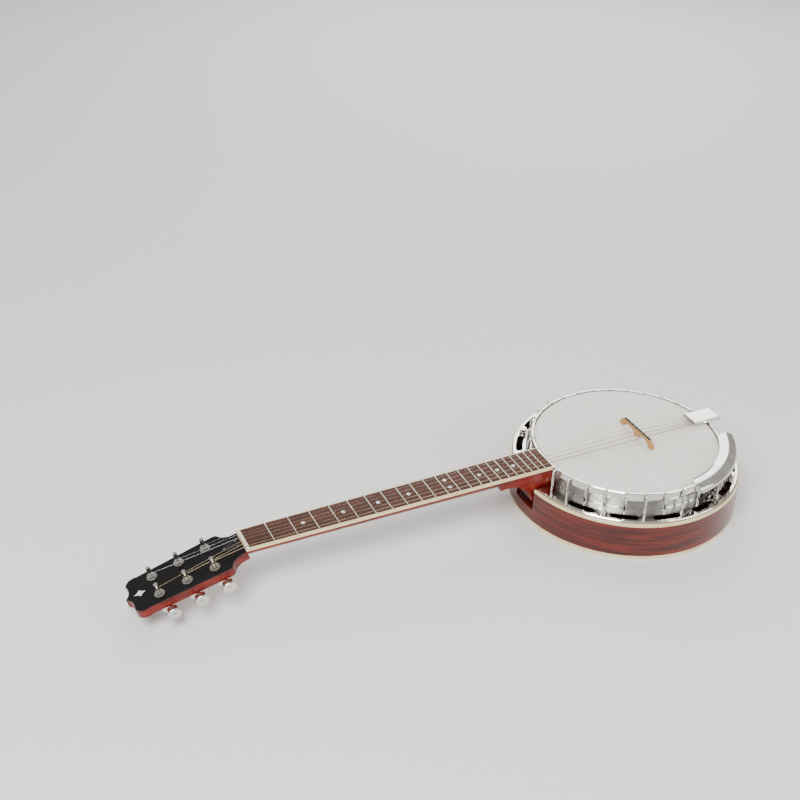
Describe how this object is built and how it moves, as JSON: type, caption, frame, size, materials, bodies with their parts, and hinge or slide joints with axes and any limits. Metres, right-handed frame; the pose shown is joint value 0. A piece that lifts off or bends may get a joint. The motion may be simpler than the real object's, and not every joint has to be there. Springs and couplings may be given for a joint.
{
  "type": "six-string resonator banjo",
  "caption": "Six-string banjo with a metal rim, hooked tension hoop, bound resonator, armrest, hinged tailpiece and slanted headstock with sealed tuners.",
  "frame": {"origin": "centre of the pot on the resonator's flat back, which the banjo lies on", "axes": "+Z out of the head, the neck runs towards -X, the bass side and the armrest are on -Y"},
  "size_m": [0.9507, 0.348, 0.1098],
  "materials": {
    "cast_aluminium": "turned cast aluminium, satin",
    "head_film": "frosted white drum head film",
    "plated_steel": "bright plated metal",
    "plain_steel": "plain steel, lightly brushed",
    "plain_brass": "turned brass",
    "mahogany": "red-brown stained mahogany, gloss lacquer",
    "cream_binding": "cream binding plastic",
    "maple": "unfinished maple",
    "ebony": "oiled ebony",
    "rosewood": "oiled rosewood",
    "black_veneer": "black gloss lacquered veneer",
    "pearl": "pearl inlay",
    "bone": "polished bone",
    "black_plastic": "black plastic",
    "fret_wire": "polished nickel fret wire",
    "wound_string": "bronze wound string",
    "plain_string": "plain steel string"
  },
  "bodies": {
    "instrument": {"rim": "cast_aluminium", "drum_head": "head_film", "crown_hoop": "plated_steel", "tension_hoop": "plated_steel", "tension_hooks": "plated_steel", "hook_nuts": "plated_steel", "flange": "plated_steel", "coordinator_rods": "plain_steel", "lag_bolts": "plain_steel", "rod_nuts": "plain_steel", "rod_washers": "plain_steel", "tailpiece_bracket": "plated_steel", "tailpiece_bolt": "plated_steel", "tailpiece_frame": "plated_steel", "tailpiece_pin": "plain_steel", "armrest": "plated_steel", "armrest_brackets": "plated_steel", "armrest_screws": "plain_steel", "bridge": "maple", "bridge_cap": "ebony", "neck": "mahogany", "headstock_veneer": "black_veneer", "headstock_inlay": "pearl", "fretboard": "rosewood", "fretboard_binding": "cream_binding", "frets": "fret_wire", "position_dots": "pearl", "nut": "bone", "truss_rod": "plain_steel", "truss_rod_cover": "black_plastic", "cover_screws": "plain_steel", "wound_strings": "wound_string", "plain_strings": "plain_string", "tuner_housings": "plated_steel", "tuner_bushings": "plated_steel", "tuner_screws": "plated_steel"},
    "resonator": {"resonator_side": "mahogany", "resonator_back": "mahogany", "resonator_binding": "cream_binding", "resonator_lugs": "plain_steel", "lug_screws": "plain_steel"},
    "tailpiece_lid": {"tailpiece_cover": "plated_steel"},
    "truss_nut": {"truss_rod_nut": "plain_brass"},
    "thumb_screw_1": {"thumb_screw_1": "plated_steel"},
    "thumb_screw_2": {"thumb_screw_2": "plated_steel"},
    "thumb_screw_3": {"thumb_screw_3": "plated_steel"},
    "thumb_screw_4": {"thumb_screw_4": "plated_steel"},
    "tuner_1_button": {"tuner_1_button": "plated_steel"},
    "tuner_1_post": {"tuner_1_post": "plated_steel"},
    "tuner_2_button": {"tuner_2_button": "plated_steel"},
    "tuner_2_post": {"tuner_2_post": "plated_steel"},
    "tuner_3_button": {"tuner_3_button": "plated_steel"},
    "tuner_3_post": {"tuner_3_post": "plated_steel"},
    "tuner_4_button": {"tuner_4_button": "plated_steel"},
    "tuner_4_post": {"tuner_4_post": "plated_steel"},
    "tuner_5_button": {"tuner_5_button": "plated_steel"},
    "tuner_5_post": {"tuner_5_post": "plated_steel"},
    "tuner_6_button": {"tuner_6_button": "plated_steel"},
    "tuner_6_post": {"tuner_6_post": "plated_steel"}
  },
  "joints": [
    {"name": "resonator_off", "type": "slide", "parent": "instrument", "child": "resonator", "axis": [0, 0, -1], "range_m": [0, 0.12]},
    {"name": "tailpiece_lid_hinge", "type": "hinge", "parent": "instrument", "child": "tailpiece_lid", "pos_m": [0.16, 0, 0.0986], "axis": [0, 1, 0], "range_deg": [0, 100]},
    {"name": "truss_nut_turn", "type": "hinge", "parent": "instrument", "child": "truss_nut", "pos_m": [-0.6084, 0, 0.07729], "axis": [-0.9997, 0, -0.0227], "range_deg": [-360, 360]},
    {"name": "thumb_screw_1_turn", "type": "hinge", "parent": "instrument", "child": "thumb_screw_1", "pos_m": [0.11384, 0.11384, 0.0645], "axis": [0, 0, 1], "continuous": true},
    {"name": "thumb_screw_2_turn", "type": "hinge", "parent": "instrument", "child": "thumb_screw_2", "pos_m": [-0.11384, 0.11384, 0.0645], "axis": [0, 0, 1], "continuous": true},
    {"name": "thumb_screw_3_turn", "type": "hinge", "parent": "instrument", "child": "thumb_screw_3", "pos_m": [-0.11384, -0.11384, 0.0645], "axis": [0, 0, 1], "continuous": true},
    {"name": "thumb_screw_4_turn", "type": "hinge", "parent": "instrument", "child": "thumb_screw_4", "pos_m": [0.11384, -0.11384, 0.0645], "axis": [0, 0, 1], "continuous": true},
    {"name": "tuner_1_button_turn", "type": "hinge", "parent": "instrument", "child": "tuner_1_button", "pos_m": [-0.64806, -0.0215, 0.05183], "axis": [0, -1, 0], "continuous": true},
    {"name": "tuner_1_post_turn", "type": "hinge", "parent": "instrument", "child": "tuner_1_post", "pos_m": [-0.65958, -0.0215, 0.06982], "axis": [-0.2807, 0, 0.9598], "continuous": true},
    {"name": "tuner_2_button_turn", "type": "hinge", "parent": "instrument", "child": "tuner_2_button", "pos_m": [-0.68598, -0.02, 0.04075], "axis": [0, -1, 0], "continuous": true},
    {"name": "tuner_2_post_turn", "type": "hinge", "parent": "instrument", "child": "tuner_2_post", "pos_m": [-0.69749, -0.02, 0.05874], "axis": [-0.2807, 0, 0.9598], "continuous": true},
    {"name": "tuner_3_button_turn", "type": "hinge", "parent": "instrument", "child": "tuner_3_button", "pos_m": [-0.72389, -0.0185, 0.02966], "axis": [0, -1, 0], "continuous": true},
    {"name": "tuner_3_post_turn", "type": "hinge", "parent": "instrument", "child": "tuner_3_post", "pos_m": [-0.7354, -0.0185, 0.04765], "axis": [-0.2807, 0, 0.9598], "continuous": true},
    {"name": "tuner_4_button_turn", "type": "hinge", "parent": "instrument", "child": "tuner_4_button", "pos_m": [-0.64806, 0.0215, 0.05183], "axis": [0, 1, 0], "continuous": true},
    {"name": "tuner_4_post_turn", "type": "hinge", "parent": "instrument", "child": "tuner_4_post", "pos_m": [-0.65958, 0.0215, 0.06982], "axis": [-0.2807, 0, 0.9598], "continuous": true},
    {"name": "tuner_5_button_turn", "type": "hinge", "parent": "instrument", "child": "tuner_5_button", "pos_m": [-0.68598, 0.02, 0.04075], "axis": [0, 1, 0], "continuous": true},
    {"name": "tuner_5_post_turn", "type": "hinge", "parent": "instrument", "child": "tuner_5_post", "pos_m": [-0.69749, 0.02, 0.05874], "axis": [-0.2807, 0, 0.9598], "continuous": true},
    {"name": "tuner_6_button_turn", "type": "hinge", "parent": "instrument", "child": "tuner_6_button", "pos_m": [-0.72389, 0.0185, 0.02966], "axis": [0, 1, 0], "continuous": true},
    {"name": "tuner_6_post_turn", "type": "hinge", "parent": "instrument", "child": "tuner_6_post", "pos_m": [-0.7354, 0.0185, 0.04765], "axis": [-0.2807, 0, 0.9598], "continuous": true}
  ],
  "couplings": [
    {"joint": "tuner_1_post_turn", "follows": "tuner_1_button_turn", "ratio": -0.071429},
    {"joint": "tuner_2_post_turn", "follows": "tuner_2_button_turn", "ratio": -0.071429},
    {"joint": "tuner_3_post_turn", "follows": "tuner_3_button_turn", "ratio": -0.071429},
    {"joint": "tuner_4_post_turn", "follows": "tuner_4_button_turn", "ratio": -0.071429},
    {"joint": "tuner_5_post_turn", "follows": "tuner_5_button_turn", "ratio": -0.071429},
    {"joint": "tuner_6_post_turn", "follows": "tuner_6_button_turn", "ratio": -0.071429}
  ]
}
